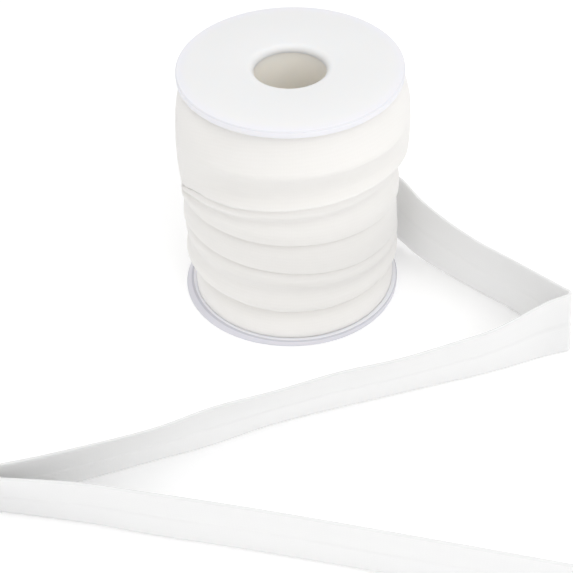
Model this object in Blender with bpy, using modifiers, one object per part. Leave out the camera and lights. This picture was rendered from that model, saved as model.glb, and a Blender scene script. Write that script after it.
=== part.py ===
"""A roll of fold-over elastic on a two-flange plastic spool, with its loose end.

The spool stands upright on its bottom flange. The elastic is wound on it in wide turns that
overlap. Its loose end comes down across the back of the winding from the first turn, leaves
it at the right, stands on its edge, doubles back at the right, doubles back again at the
left, and runs out past the front.

Lengths are in millimetres and are turned to metres where a mesh or a place is made. The
spool's own frame has its origin on the spool's axis at the floor, X to the right and Y away
from the front. An empty carries that frame, so that the part's origin is the middle of the
floor area that the roll and its loose end cover.
"""

import math
from collections import namedtuple

import bmesh
import bpy
from mathutils import Vector

MM = 0.001

# Spool: a moulded tube between two discs
FLANGE_RADIUS = 27.5
FLANGE_THICKNESS = 1.9
SPOOL_HEIGHT = 66.7
HOLE_RADIUS = 8.8
CORE_RADIUS = 11.0
RIM_ROUNDING = 0.4
HOLE_ROUNDING = 1.0
RIM_STEPS = 2
HOLE_STEPS = 3
GAP = 0.3
SIDES = 64

# Elastic: a band with a fold line along its middle
BAND_WIDTH = 20.0
BAND_THICKNESS = 1.0

# The spool's axis, from the middle of the floor area that the part covers
SPOOL_AXIS = Vector((2.4, 43.2))

# The lower edge of each turn that shows, as a height above the floor at the spool's side.
# front and right are how much higher it is at the front and at the right.
Turn = namedtuple("Turn", "name edge front right")
WINDING_TOP = SPOOL_HEIGHT - FLANGE_THICKNESS - GAP
WINDING_BOTTOM = FLANGE_THICKNESS + GAP
TURNS = (
    Turn("first", edge=41.7, front=2.9, right=2.1),
    Turn("second", edge=33.2, front=0.3, right=-1.3),
    Turn("third", edge=23.9, front=0.6, right=-2.7),
    Turn("fourth", edge=10.9, front=-1.0, right=-0.5),
    Turn("fifth", edge=WINDING_BOTTOM, front=0.0, right=0.0),
)

# The face of each turn, from its upper edge (0) to its lower edge (1). radius is how far it
# stands from the spool's axis, and right how much further out it stands at the right, and
# further in at the left.
Level = namedtuple("Level", "turn part radius right")
LEVELS = (
    Level("first", 0.00, radius=26.8, right=0.0),
    Level("first", 0.08, radius=27.4, right=0.1),
    Level("first", 0.22, radius=28.0, right=0.3),
    Level("first", 0.36, radius=28.7, right=0.3),
    Level("first", 0.47, radius=28.9, right=0.2),
    Level("first", 0.58, radius=28.4, right=0.1),
    Level("first", 0.72, radius=27.9, right=0.0),
    Level("first", 0.87, radius=28.2, right=0.0),
    Level("first", 1.00, radius=28.7, right=-0.1),
    Level("second", 0.04, radius=27.6, right=-0.3),
    Level("second", 0.16, radius=28.0, right=-0.5),
    Level("second", 0.38, radius=27.2, right=-0.6),
    Level("second", 0.68, radius=27.9, right=-0.6),
    Level("second", 1.00, radius=27.9, right=-0.5),
    Level("third", 0.05, radius=27.1, right=-0.4),
    Level("third", 0.40, radius=27.4, right=-0.4),
    Level("third", 0.75, radius=27.6, right=-0.5),
    Level("third", 1.00, radius=27.6, right=-0.5),
    Level("fourth", 0.03, radius=27.1, right=-0.5),
    Level("fourth", 0.16, radius=27.5, right=-0.6),
    Level("fourth", 0.42, radius=27.0, right=-0.6),
    Level("fourth", 0.68, radius=27.5, right=-0.6),
    Level("fourth", 0.88, radius=27.2, right=-0.6),
    Level("fourth", 1.00, radius=26.4, right=-0.5),
    Level("fifth", 0.06, radius=26.0, right=-0.4),
    Level("fifth", 0.35, radius=26.3, right=-0.4),
    Level("fifth", 0.70, radius=26.0, right=-0.3),
    Level("fifth", 1.00, radius=25.4, right=-0.2),
)

# The loose end leaves the first turn's face at the left, crosses the turns below it on its
# way down over the back, and leaves the winding along a tangent. angle is in degrees from +X,
# radius is to the middle of the band's thickness, and lift is how high the band's lower edge
# is. The turns lie deeper under it, between its two ends on the winding.
Crossing = namedtuple("Crossing", "angle radius lift")
CROSSING = (
    Crossing(208, radius=29.4, lift=40.4),
    Crossing(198, radius=29.3, lift=37.8),
    Crossing(186, radius=29.0, lift=34.5),
    Crossing(168, radius=28.8, lift=30.2),
    Crossing(150, radius=28.7, lift=26.2),
    Crossing(130, radius=28.7, lift=21.9),
    Crossing(110, radius=28.7, lift=17.8),
    Crossing(88, radius=28.7, lift=13.5),
    Crossing(66, radius=28.6, lift=9.5),
    Crossing(46, radius=28.5, lift=6.2),
)
CROSSING_DEPTH = 0.8
CROSSING_FADE = 20

# Where the band's lower edge stands on the floor, from the spool's axis, how high it is
# lifted, and how far its upper edge leans over that point along X and Y.
Station = namedtuple("Station", "x y lift lean_x lean_y")
RUN_TO_RIGHT = (
    Station(24.7, 16.1, 4.4, -0.2, -0.2),
    Station(28.9, 11.9, 2.4, 0.4, 0.4),
    Station(34.6, 5.4, 0.7, -0.5, -0.5),
    Station(42.1, -1.8, 0.2, -1.8, -1.8),
    Station(49.3, -8.9, 0.2, -2.5, -2.5),
    Station(56.4, -15.5, 0.2, -2.7, -2.6),
    Station(69.4, -31.6, 0.2, -1.9, -0.6),
)
RUN_TO_LEFT = (
    RUN_TO_RIGHT[-1],
    Station(61.1, -34.0, 0.2, 0.1, -1.1),
    Station(53.1, -36.9, 0.2, 0.7, -2.9),
    Station(45.3, -39.4, 0.2, 1.3, -4.6),
    Station(37.5, -41.5, 0.2, 1.5, -5.5),
    Station(22.3, -45.7, 0.2, 1.7, -6.6),
    Station(7.4, -49.9, 0.2, 1.9, -6.4),
    Station(-7.3, -54.5, 0.2, 2.1, -6.9),
    Station(-21.6, -60.5, 0.2, 2.0, -5.9),
    Station(-35.7, -65.1, 0.2, 2.1, -7.2),
    Station(-56.0, -71.9, 0.2, 1.6, -6.8),
    Station(-68.0, -75.2, 0.2, 0.8, -6.6),
    Station(-80.0, -77.6, 0.2, 0.0, -6.4),
)
RUN_TO_FRONT = (
    RUN_TO_LEFT[-1],
    Station(-68.0, -79.1, 0.2, -1.0, -6.2),
    Station(-48.2, -83.1, 0.2, -0.9, -4.8),
    Station(-34.5, -86.7, 0.2, -0.8, -4.2),
    Station(-7.7, -92.9, 0.2, -0.8, -4.2),
    Station(25.0, -101.2, 0.2, -0.9, -4.3),
    Station(61.0, -110.9, 0.2, -0.9, -4.2),
)
FOLD_RADIUS = 1.2
FOLD_STEPS = 6
STATION_SPACING = 4.0
BAND_COLUMNS = 3


def clear_scene():
    for old in list(bpy.data.objects):
        bpy.data.objects.remove(old, do_unlink=True)


def make_material(name, colour, roughness):
    material = bpy.data.materials.new(name)
    material.use_nodes = True
    shader = material.node_tree.nodes["Principled BSDF"]
    shader.inputs["Base Color"].default_value = (*colour, 1.0)
    shader.inputs["Roughness"].default_value = roughness
    shader.inputs["Metallic"].default_value = 0.0
    return material


def add_object(name, mesh, material, parent, collection):
    part = bpy.data.objects.new(name, mesh)
    collection.objects.link(part)
    part.parent = parent
    part.data.materials.append(material)
    part.data.shade_smooth()
    return part


def arc_points(centre, radius, start, end, steps):
    """Points of an arc in a turned profile, as (distance from the axis, height)."""
    angles = [start + (end - start) * i / steps for i in range(steps + 1)]
    return [(centre[0] + radius * math.cos(a), centre[1] + radius * math.sin(a)) for a in angles]


def turned_mesh(name, profile):
    """An edge loop of (distance from the axis, height) that a Screw modifier will turn."""
    mesh = bpy.data.meshes.new(name)
    corners = [(r * MM, 0.0, z * MM) for r, z in profile]
    edges = [(i, (i + 1) % len(corners)) for i in range(len(corners))]
    mesh.from_pydata(corners, edges, [])
    return mesh


def add_screw(part):
    screw = part.modifiers.new("Turned", "SCREW")
    screw.axis = "Z"
    screw.angle = 2 * math.pi
    screw.steps = SIDES
    screw.render_steps = SIDES
    screw.use_merge_vertices = True
    screw.merge_threshold = 0.00001
    screw.use_smooth_shade = True


def flange_profile(outer_face_up):
    """The flange's section, drawn from z 0 (inner face) up, or mirrored for the bottom one.

    The rim has both edges eased, and the hole's edge is rounded on the outer face.
    """
    up, down = math.radians(90), math.radians(-90)
    outer = FLANGE_RADIUS - RIM_ROUNDING
    high = FLANGE_THICKNESS - RIM_ROUNDING
    profile = arc_points((outer, high), RIM_ROUNDING, up, 0.0, RIM_STEPS)
    profile += arc_points((outer, RIM_ROUNDING), RIM_ROUNDING, 0.0, down, RIM_STEPS)
    profile.append((HOLE_RADIUS, 0.0))
    hole_centre = (HOLE_RADIUS + HOLE_ROUNDING, FLANGE_THICKNESS - HOLE_ROUNDING)
    profile += arc_points(hole_centre, HOLE_ROUNDING, math.pi, up, HOLE_STEPS)
    if outer_face_up:
        return profile
    return [(r, FLANGE_THICKNESS - z) for r, z in reversed(profile)]


def build_flange(name, outer_face_up, height, material, parent, collection):
    mesh = turned_mesh(name, flange_profile(outer_face_up))
    flange = add_object(name, mesh, material, parent, collection)
    flange.location.z = height * MM
    add_screw(flange)
    return flange


def build_core_tube(material, parent, collection):
    """The tube fills the same height as the winding."""
    low, high = WINDING_BOTTOM, WINDING_TOP
    profile = [(CORE_RADIUS, high), (CORE_RADIUS, low), (HOLE_RADIUS, low), (HOLE_RADIUS, high)]
    mesh = turned_mesh("core_tube", profile)
    tube = add_object("core_tube", mesh, material, parent, collection)
    add_screw(tube)
    return tube


def edge_height(turn, angle):
    """How high a turn's lower edge is at an angle from +X, seen from above."""
    front, right = -math.sin(angle), math.cos(angle)
    return turn.edge + turn.front * front + turn.right * right


def smooth_step(share):
    """0 to 1 with no corner at either end."""
    share = min(1.0, max(0.0, share))
    return share * share * (3 - 2 * share)


def depth_under_crossing(angle):
    """How much deeper the turns lie under the loose end's way down."""
    degrees = math.degrees(angle)
    after_start = smooth_step((CROSSING[0].angle - degrees) / CROSSING_FADE)
    before_end = smooth_step((degrees - CROSSING[-1].angle) / CROSSING_FADE)
    return CROSSING_DEPTH * after_start * before_end


def winding_section(angle):
    """The winding's face at one angle, from top to bottom, as (distance, height)."""
    section = []
    above = WINDING_TOP
    for turn in TURNS:
        below = edge_height(turn, angle)
        for level in LEVELS:
            if level.turn == turn.name:
                radius = level.radius + level.right * math.cos(angle)
                radius -= depth_under_crossing(angle)
                section.append((radius, above + (below - above) * level.part))
        above = below
    inner = CORE_RADIUS + GAP
    return section + [(inner, WINDING_BOTTOM), (inner, WINDING_TOP)]


def build_winding(material, parent, collection):
    """A loft round the axis. Each section differs, because the turns' edges slope."""
    loft = bmesh.new()
    columns = []
    for side in range(SIDES):
        angle = 2 * math.pi * side / SIDES
        along = Vector((math.cos(angle), math.sin(angle), 0.0))
        places = [along * r + Vector((0.0, 0.0, z)) for r, z in winding_section(angle)]
        columns.append([loft.verts.new(place * MM) for place in places])
    for left, right in zip(columns, columns[1:] + columns[:1]):
        for row in range(len(left)):
            next_row = (row + 1) % len(left)
            loft.faces.new((left[row], left[next_row], right[next_row], right[row]))
    bmesh.ops.recalc_face_normals(loft, faces=loft.faces)
    mesh = bpy.data.meshes.new("wound_elastic")
    loft.to_mesh(mesh)
    loft.free()
    return add_object("wound_elastic", mesh, material, parent, collection)


def catmull_rom(p0, p1, p2, p3, t):
    """A point between p1 and p2 on the smooth curve through four points."""
    return 0.5 * (
        2 * p1
        + (p2 - p0) * t
        + (2 * p0 - 5 * p1 + 4 * p2 - p3) * t * t
        + (3 * p1 - p0 - 3 * p2 + p3) * t * t * t
    )


def smooth_run(stations):
    """Stations about STATION_SPACING apart on the smooth curve through the given ones."""
    points = [Vector(station) for station in stations]
    points = [2 * points[0] - points[1]] + points + [2 * points[-1] - points[-2]]
    run = []
    for i in range(1, len(points) - 2):
        distance = (points[i + 1].to_2d() - points[i].to_2d()).length
        steps = max(1, round(distance / STATION_SPACING))
        run += [catmull_rom(*points[i - 1 : i + 3], step / steps) for step in range(steps)]
    return run + [points[-2]]


def crossing_stations():
    """Upright stations round the winding, up to where the band leaves it."""
    run = []
    for crossing in CROSSING:
        angle = math.radians(crossing.angle)
        x, y = crossing.radius * math.cos(angle), crossing.radius * math.sin(angle)
        run.append(Station(x, y, crossing.lift, 0.0, 0.0))
    return run


def join_at_fold(run_in, run_out):
    """Two runs that meet at a corner, joined there by a tight arc of FOLD_RADIUS."""
    corner = run_in[-1]
    arriving = (run_in[-3].to_2d() - corner.to_2d()).normalized()
    leaving = (run_out[2].to_2d() - corner.to_2d()).normalized()
    half = arriving.angle(leaving) / 2
    reach = FOLD_RADIUS / math.tan(half)
    centre = corner.to_2d() + (arriving + leaving).normalized() * FOLD_RADIUS / math.sin(half)
    start = corner.to_2d() + arriving * reach - centre
    turn = (corner.to_2d() + leaving * reach - centre).angle_signed(start)
    before = [s for s in run_in if (s.to_2d() - corner.to_2d()).length > reach + FOLD_RADIUS]
    after = [s for s in run_out if (s.to_2d() - corner.to_2d()).length > reach + FOLD_RADIUS]
    fold = []
    for step in range(FOLD_STEPS + 1):
        angle = turn * step / FOLD_STEPS
        cos, sin = math.cos(angle), math.sin(angle)
        spoke = Vector((start.x * cos - start.y * sin, start.x * sin + start.y * cos))
        place = centre + spoke
        fold.append(Vector((place.x, place.y, *corner[2:])))
    return before + fold + after


def loose_end_stations():
    """Every station of the loose end, from the winding to its cut end."""
    to_right = smooth_run((*crossing_stations(), *RUN_TO_RIGHT))
    to_left = smooth_run(RUN_TO_LEFT)
    to_front = smooth_run(RUN_TO_FRONT)
    return join_at_fold(join_at_fold(to_right, to_left), to_front)


def build_loose_end(material, parent, collection):
    """A strip on its edge, ruled from its lower to its upper edge, with a thickness."""
    strip = bmesh.new()
    columns = []
    for x, y, lift, lean_x, lean_y in loose_end_stations():
        rise = math.sqrt(BAND_WIDTH**2 - lean_x**2 - lean_y**2)
        foot = Vector((x, y, lift))
        across = Vector((lean_x, lean_y, rise))
        places = [foot + across * i / (BAND_COLUMNS - 1) for i in range(BAND_COLUMNS)]
        columns.append([strip.verts.new(place * MM) for place in places])
    for left, right in zip(columns, columns[1:]):
        for row in range(BAND_COLUMNS - 1):
            strip.faces.new((left[row], right[row], right[row + 1], left[row + 1]))
    mesh = bpy.data.meshes.new("loose_end")
    strip.to_mesh(mesh)
    strip.free()
    loose_end = add_object("loose_end", mesh, material, parent, collection)
    solidify = loose_end.modifiers.new("Band thickness", "SOLIDIFY")
    solidify.thickness = BAND_THICKNESS * MM
    solidify.offset = 0.0
    return loose_end


def main():
    clear_scene()
    collection = bpy.data.collections.new("fold_over_elastic_roll")
    bpy.context.scene.collection.children.link(collection)
    spool_axis = bpy.data.objects.new("spool_axis", None)
    spool_axis.location = (*(SPOOL_AXIS * MM), 0.0)
    collection.objects.link(spool_axis)

    plastic = make_material("natural_polypropylene", (0.86, 0.86, 0.89), 0.35)
    elastic = make_material("knitted_elastic", (0.90, 0.89, 0.86), 0.9)

    build_core_tube(plastic, spool_axis, collection)
    build_flange("bottom_flange", False, 0.0, plastic, spool_axis, collection)
    top_height = SPOOL_HEIGHT - FLANGE_THICKNESS
    build_flange("top_flange", True, top_height, plastic, spool_axis, collection)
    build_winding(elastic, spool_axis, collection)
    build_loose_end(elastic, spool_axis, collection)


main()
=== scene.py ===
"""Looks of a roll of fold-over elastic on a plastic spool, laid out as a Blender add-on.

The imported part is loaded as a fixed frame. The spool's tube and discs are modelled again with
their fine edges, the wound elastic gets its overlapping turns, and the loose end becomes a
band with a fold line and selvedges. Lengths in the tables are in millimetres, and the rest of
the script works in metres in the part's frame.
"""

import math
from collections import namedtuple

import bpy
import numpy as np
from mathutils import Matrix, Vector, noise


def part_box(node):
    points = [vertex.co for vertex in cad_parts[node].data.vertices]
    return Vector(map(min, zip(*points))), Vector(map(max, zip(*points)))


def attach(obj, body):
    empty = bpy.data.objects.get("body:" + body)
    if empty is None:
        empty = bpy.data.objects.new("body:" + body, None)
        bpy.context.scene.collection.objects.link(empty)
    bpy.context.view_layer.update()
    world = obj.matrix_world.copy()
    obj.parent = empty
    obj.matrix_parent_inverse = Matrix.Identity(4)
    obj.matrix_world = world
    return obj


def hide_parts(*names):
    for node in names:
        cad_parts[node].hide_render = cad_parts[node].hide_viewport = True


bl_info = {
    "name": "Fold-over elastic roll",
    "version": (1, 0, 0),
    "blender": (4, 5, 0),
    "location": "View3D > Sidebar > Elastic roll",
    "description": "Models the finish of a spool of fold-over elastic and its loose end",
    "category": "Object",
}

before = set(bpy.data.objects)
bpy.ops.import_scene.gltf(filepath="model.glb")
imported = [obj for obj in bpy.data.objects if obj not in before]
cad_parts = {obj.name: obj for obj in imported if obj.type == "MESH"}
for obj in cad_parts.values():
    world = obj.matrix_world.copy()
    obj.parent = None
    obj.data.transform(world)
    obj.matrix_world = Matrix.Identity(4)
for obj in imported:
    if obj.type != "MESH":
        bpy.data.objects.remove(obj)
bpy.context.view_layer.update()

MM = 0.001

# The spool, read from the frame. GAP is between its tube and each disc.
TOP_LOW, TOP_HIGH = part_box("top_flange")
TUBE_LOW, TUBE_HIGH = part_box("core_tube")
SPOOL_AXIS = (TOP_LOW + TOP_HIGH) / 2
SPOOL_AXIS.z = 0.0
SPOOL_HEIGHT = TOP_HIGH.z
FLANGE_RADIUS = (TOP_HIGH.x - TOP_LOW.x) / 2
FLANGE_THICKNESS = TOP_HIGH.z - TOP_LOW.z
CORE_RADIUS = (TUBE_HIGH.x - TUBE_LOW.x) / 2
GAP = TUBE_LOW.z - FLANGE_THICKNESS

# The winding's turns, as the solids have them. edge is the height of a turn's lower edge at the
# sides, front is how much higher it is at the front, and right how much higher at the right.
Turn = namedtuple("Turn", "name edge front right")
TURNS = (
    Turn("first", edge=41.7, front=2.9, right=2.1),
    Turn("second", edge=33.2, front=0.3, right=-1.3),
    Turn("third", edge=23.9, front=0.6, right=-2.7),
    Turn("fourth", edge=10.9, front=-1.0, right=-0.5),
    Turn("fifth", edge=1.9, front=0.0, right=0.0),
)

# The face of each turn from its upper edge (0) to its lower edge (1), folded a little deeper
# than the solids are. right is how much further out it is at the right.
Level = namedtuple("Level", "part radius right")
LEVELS = {
    "first": (
        Level(0.00, 24.8, 0.0),
        Level(0.04, 25.5, 0.0),
        Level(0.08, 25.9, 0.1),
        Level(0.14, 26.3, 0.1),
        Level(0.20, 26.7, 0.3),
        Level(0.27, 27.3, 0.3),
        Level(0.33, 27.9, 0.3),
        Level(0.39, 28.4, 0.3),
        Level(0.44, 28.9, 0.2),
        Level(0.48, 29.1, 0.2),
        Level(0.52, 29.0, 0.2),
        Level(0.58, 28.2, 0.1),
        Level(0.64, 27.5, 0.1),
        Level(0.70, 27.0, 0.0),
        Level(0.76, 26.6, 0.0),
        Level(0.82, 26.5, 0.0),
        Level(0.87, 26.7, 0.0),
        Level(0.92, 27.4, 0.0),
        Level(1.00, 28.7, -0.1),
    ),
    "second": (
        Level(0.00, 27.4, -0.5),
        Level(0.09, 27.6, -0.6),
        Level(0.17, 27.8, -0.9),
        Level(0.26, 27.6, -0.9),
        Level(0.35, 26.9, -1.0),
        Level(0.44, 26.7, -1.0),
        Level(0.54, 27.0, -1.0),
        Level(0.65, 27.6, -1.0),
        Level(0.78, 27.9, -0.9),
        Level(1.00, 27.9, -0.9),
    ),
    "third": (
        Level(0.00, 26.4, -0.8),
        Level(0.12, 26.8, -0.8),
        Level(0.35, 27.3, -0.8),
        Level(0.65, 27.6, -0.9),
        Level(1.00, 27.8, -0.9),
    ),
    "fourth": (
        Level(0.00, 26.8, -0.5),
        Level(0.08, 27.3, -0.6),
        Level(0.17, 27.7, -0.6),
        Level(0.27, 27.6, -0.6),
        Level(0.37, 27.0, -0.7),
        Level(0.46, 26.8, -0.7),
        Level(0.55, 27.1, -0.7),
        Level(0.66, 27.8, -0.7),
        Level(0.73, 27.9, -0.7),
        Level(0.80, 27.7, -0.7),
        Level(0.88, 27.0, -0.7),
        Level(0.94, 26.1, -0.7),
        Level(1.00, 25.1, -0.6),
    ),
    "fifth": (
        Level(0.00, 24.7, -0.4),
        Level(0.10, 25.1, -0.4),
        Level(0.30, 25.8, -0.4),
        Level(0.60, 26.3, -0.3),
        Level(1.00, 26.3, -0.2),
    ),
}

# How finely the winding is made, and the rolled lip along each turn's lower edge. LIP_INSIDE
# has the lip's last two rows: how far in they are, their rise over the edge, and their place
# across the band.
WINDING_TOP = (SPOOL_HEIGHT - FLANGE_THICKNESS - GAP) / MM
WINDING_COLUMNS = 320
FACE_ROWS = {"first": 44, "second": 24, "third": 24, "fourth": 30, "fifth": 20}
CORE_CLEARANCE = 0.1
LIP_RADIUS = 0.38
LIP_STEPS = 5
LIP_TURN = math.radians(110)
LIP_GAP = 0.16
LIP_INSIDE = ((0.9, 0.25, 0.1), (0.95, -0.4 * LIP_GAP, 0.0))

# Slight waves of the turns' edges and creases of their faces
EDGE_WAVE = 0.16
SLOW_WAVES = 3.0
QUICK_WAVES = 9.0
QUICK_WAVE_SHARE = 0.5
CREASE_HEIGHT = 0.05
CREASE_RATE_ROUND = 1.2
CREASE_RATE_UP = 0.9

# The first turn away from the front, where it is crowned and not folded. Angles are in degrees.
SIDE_RADIUS = 28.0
SIDE_CROWN = 0.85
CROWN_POWER = 0.8
UPPER_DRAW = 1.6
UPPER_SHARE = 0.3
RIGHT_SWELL = 0.9
RIGHT_SWELL_POWER = 1.5
FOLDS_START, FOLDS_START_FADE = 204, 32
FOLDS_END, FOLDS_END_FADE = 352, 34

# The loose end's way down across the winding's back. radius is to its outer face at its
# selvedges, crown how much further out that face stands between them, and lift the height of
# its lower edge. Its stations stand on a circle of radius CROSSING_PATH, and a station counts
# as on the winding when it is within PATH_REACH of that and ANGLE_SLACK degrees of the rows.
Crossing = namedtuple("Crossing", "angle radius crown lift")
CROSSING = (
    Crossing(224, 28.2, 0.7, 42.2),
    Crossing(216, 28.2, 0.7, 41.7),
    Crossing(208, 28.2, 0.7, 40.4),
    Crossing(198, 28.2, 0.7, 37.8),
    Crossing(186, 28.1, 0.7, 34.5),
    Crossing(168, 28.1, 0.7, 30.2),
    Crossing(150, 28.1, 0.7, 26.2),
    Crossing(130, 28.1, 0.6, 21.9),
    Crossing(110, 28.2, 0.5, 17.8),
    Crossing(88, 28.4, 0.3, 13.5),
    Crossing(66, 28.6, 0.1, 9.5),
    Crossing(46, 28.8, 0.0, 6.2),
)
CROSSING_PATH = 28.4
PATH_REACH = 2.0
ANGLE_SLACK = 1

# The band starts inside the first turn's face, comes out of it from EMERGENCE on, and presses
# the turns under it in. The first turn's lower edge drops with it. Angles are in degrees.
EMERGENCE, EMERGENCE_FADE = 197, 14
HIDDEN_DEPTH, HIDDEN_FADE = 0.5, 8
HIDDEN_LIFT = 0.5
CROSSING_DEPTH, CROSSING_FADE = 0.8, 20
EDGE_DROP_END, EDGE_DROP_FADE = 176, 12
EDGE_CLEARANCE = 1.0

# The loose end's three runs. Each station has the place and height of the band's lower edge,
# and how far its upper edge leans from it.
Station = namedtuple("Station", "x y lift lean_x lean_y")
RUN_TO_RIGHT = (
    Station(24.7, 16.1, 4.4, -0.2, -0.2),
    Station(28.9, 11.9, 2.4, 0.4, 0.4),
    Station(34.6, 5.4, 0.7, -0.5, -0.5),
    Station(42.1, -1.8, 0.2, -1.8, -1.8),
    Station(49.3, -8.9, 0.2, -2.5, -2.5),
    Station(56.4, -15.5, 0.2, -2.7, -2.6),
    Station(69.4, -31.6, 0.2, -1.9, -0.6),
)
RUN_TO_LEFT = (
    RUN_TO_RIGHT[-1],
    Station(61.1, -34.0, 0.2, 0.1, -1.1),
    Station(53.1, -36.9, 0.2, 0.7, -2.9),
    Station(45.3, -39.4, 0.2, 1.3, -4.6),
    Station(37.5, -41.5, 0.2, 1.5, -5.5),
    Station(22.3, -45.7, 0.2, 1.7, -6.6),
    Station(7.4, -49.9, 0.2, 1.9, -6.4),
    Station(-7.3, -54.5, 0.2, 2.1, -6.9),
    Station(-21.6, -60.5, 0.2, 2.0, -5.9),
    Station(-35.7, -65.1, 0.2, 2.1, -7.2),
    Station(-56.0, -71.9, 0.2, 1.6, -6.8),
    Station(-68.0, -75.2, 0.2, 0.8, -6.6),
    Station(-80.0, -77.6, 0.2, 0.0, -6.4),
)
RUN_TO_FRONT = (
    RUN_TO_LEFT[-1],
    Station(-68.0, -79.1, 0.2, -1.0, -6.2),
    Station(-48.2, -83.1, 0.2, -0.9, -4.8),
    Station(-34.5, -86.7, 0.2, -0.8, -4.2),
    Station(-7.7, -92.9, 0.2, -0.8, -4.2),
    Station(25.0, -101.2, 0.2, -0.9, -4.3),
    Station(61.0, -110.9, 0.2, -0.9, -4.2),
)
FOLD_RADIUS = 0.9
FOLD_STEPS = 10
FOLD_APPROACH = 8
STATION_SPACING = 0.9

# The band's section
SELVEDGE = 0.6
FOLD_LINE_WIDTH = 1.4
SELVEDGE_PLACES = 5
FACE_PLACES = 9
FOLD_PLACES = 5

# The knit, with its ribs drawn coarser than the real ones. The shares are those of the cross
# stitches in the knit, of the fuzz in the relief and of the knit in the tone.
BAND_MAP = "band"
RIB_PITCH = 0.9 * MM
PICK_PITCH = 0.7 * MM
PICK_SHARE = 0.4
FUZZ_SHARE = 0.35
KNIT_SHARE = 0.5
KNIT_DARK = 0.975

# How much light the band lets through and how far: in the winding, lying on it, and by itself.
# It fades from the second to the third round the place where it leaves the roll.
WOUND_CLEARNESS, WOUND_DEPTH = 0.5, 1.2 * MM
BACKED_CLEARNESS, BACKED_DEPTH = 0.15, 0.6 * MM
LOOSE_CLEARNESS, LOOSE_DEPTH = 1.0, 2.5 * MM
FADE_BEFORE = 22.0 * MM
FADE_AFTER = 6.0 * MM

# Marks on the loose end: the fold line's, from the band's middle, partly the pressed knit and
# partly painted shade in its groove, and the selvedges', from its edge, painted shade along their
# rounded edges. Each pair is where the mark is full and where it ends.
FOLD_TONE_AND_SHADE = 0.965
FOLD_MARK = (0.2 * MM, 1.4 * MM)
FOLD_BREAKS = (0.35, 0.6)
SELVEDGE_SHADE_TONE = 0.93
SELVEDGE_SHADE_MARK = (0.2 * MM, 0.6 * MM)

# Scales of the noise, in cells per metre: cells of 11, 2.4, 0.45, 14 and 40 mm
MOTTLE_SCALE = 90.0
SKIN_SCALE = 420.0
FUZZ_SCALE = 2200.0
CLOUD_SCALE = 70.0
BREAK_SCALE = 25.0

# The spool's plastic and its moulded rims, with widths from the rim inwards
MOTTLE_DARK = 0.985
# Painted light and shade on the rims: bluer towards the rim over RIM_FADE, the side's colour from
# SIDE_STEP, and a thin grey line of painted shade along the upper edge, fainter on the top disc
RIM_FADE = 3.5 * MM
SIDE_STEP = (0.2 * MM, 0.1 * MM)
EDGE_LINE_WIDTH = 0.4 * MM
EDGE_LINE_HEIGHT = 0.45 * MM
TOP_EDGE_SHARE = 0.3
# The bottom disc's rim spreads out on its left. Coloured with painted shade, it stands in for the
# floor's shadow there
FOOT_SPREAD = 1.8 * MM
FOOT_POWER = 1.5
FOOT_ZONE = 1.0 * MM
RIM_SEGMENTS = 3
HOLE_SEGMENTS = 8
SHADE_ANGLE = math.radians(25)
LEVEL_FACE_NORMAL = 0.9
RING_RADIUS_TOLERANCE = 0.05 * MM
RING_HEIGHT_TOLERANCE = 0.01 * MM

# The view: a long lens above the front, tipped a little to one side
CAMERA_PLACE = Vector((0.06, -242.54, 248.76)) * MM
CAMERA_PITCH = math.radians(41.463)
CAMERA_ROLL = math.radians(-1.629)
CAMERA_SENSOR = 36.0
CAMERA_FOCUS_PIXELS = 1400.0
PHOTO_WIDTH = 573.0

# The soft lights, all aimed at the roll, in metres
Softbox = namedtuple("Softbox", "name power place size")
SOFTBOXES = (
    Softbox("right_softbox", "right_power", (0.46, -0.58, 0.68), 0.8),
    Softbox("front_softbox", "front_power", (0.00, -0.76, 0.66), 0.8),
    Softbox("overhead_softbox", "overhead_power", (0.0, 0.05, 1.1), 1.6),
)
LIGHT_TARGET = Vector((0.0, 0.0, 0.03))
FLOOR_SIDES = 128

# The three colours of a disc's rim, which paint light and shade on it: its bluer face, its side
# and the grey line along its upper edge; the height of its top; and the colour that the band
# fades to between two lengths along it
Rim = namedtuple("Rim", "face side edge top")
# The colour of a Fade is the loose end's darker colour, painted shade for a single layer
Fade = namedtuple("Fade", "colour start end")


def to_linear(code):
    """An sRGB hex colour, such as F2F1EC, as linear red, green and blue."""
    channels = [int(code[i : i + 2], 16) / 255 for i in (0, 2, 4)]
    return [c / 12.92 if c <= 0.04045 else ((c + 0.055) / 1.055) ** 2.4 for c in channels]


def colour_setting(name, code, description):
    """A colour that a user can change, with its default as an sRGB hex colour."""
    return bpy.props.FloatVectorProperty(
        name=name, description=description, default=to_linear(code), subtype="COLOR"
    )


def length_setting(name, default, limits, description):
    """A length that a user can change, given in millimetres with its least and its greatest."""
    return bpy.props.FloatProperty(
        name=name,
        description=description,
        default=default * MM,
        min=limits[0] * MM,
        max=limits[1] * MM,
        unit="LENGTH",
    )


def power_setting(name, default, description):
    """A light's power that a user can change, in watts."""
    return bpy.props.FloatProperty(
        name=name, description=description, default=default, min=0.0, unit="POWER"
    )


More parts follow.
